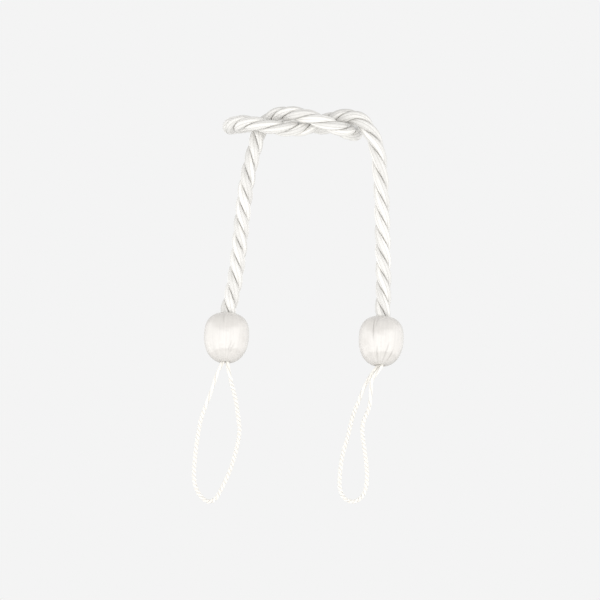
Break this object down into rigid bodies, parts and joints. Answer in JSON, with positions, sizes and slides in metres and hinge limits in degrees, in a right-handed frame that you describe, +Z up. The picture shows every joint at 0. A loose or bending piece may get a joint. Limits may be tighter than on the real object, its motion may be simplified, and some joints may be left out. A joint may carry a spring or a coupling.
{
  "type": "curtain tieback rope with ball ends",
  "caption": "Twisted satin rope tied in a half knot to gather a curtain, with a thread-wound ball and a thin hanging hook loop at each end.",
  "frame": {"origin": "middle of the tied ring, where the gathered curtain passes through it", "axes": "+Z up, +X to the right and +Y to the back, seen from the side where the knot and both ends show"},
  "size_m": [0.1374, 0.0792, 0.2576],
  "materials": {
    "satin_rope": "white satin rope of three twisted strands, soft sheen along the yarns",
    "wound_thread": "white satin thread wound from pole to pole, glossy bands across the threads",
    "twisted_cord": "off-white fine twisted cord, nearly matt"
  },
  "bodies": {
    "root": {"rope": "satin_rope", "ball_left": "wound_thread", "ball_right": "wound_thread", "loop_left": "twisted_cord", "loop_right": "twisted_cord"}
  },
  "joints": []
}
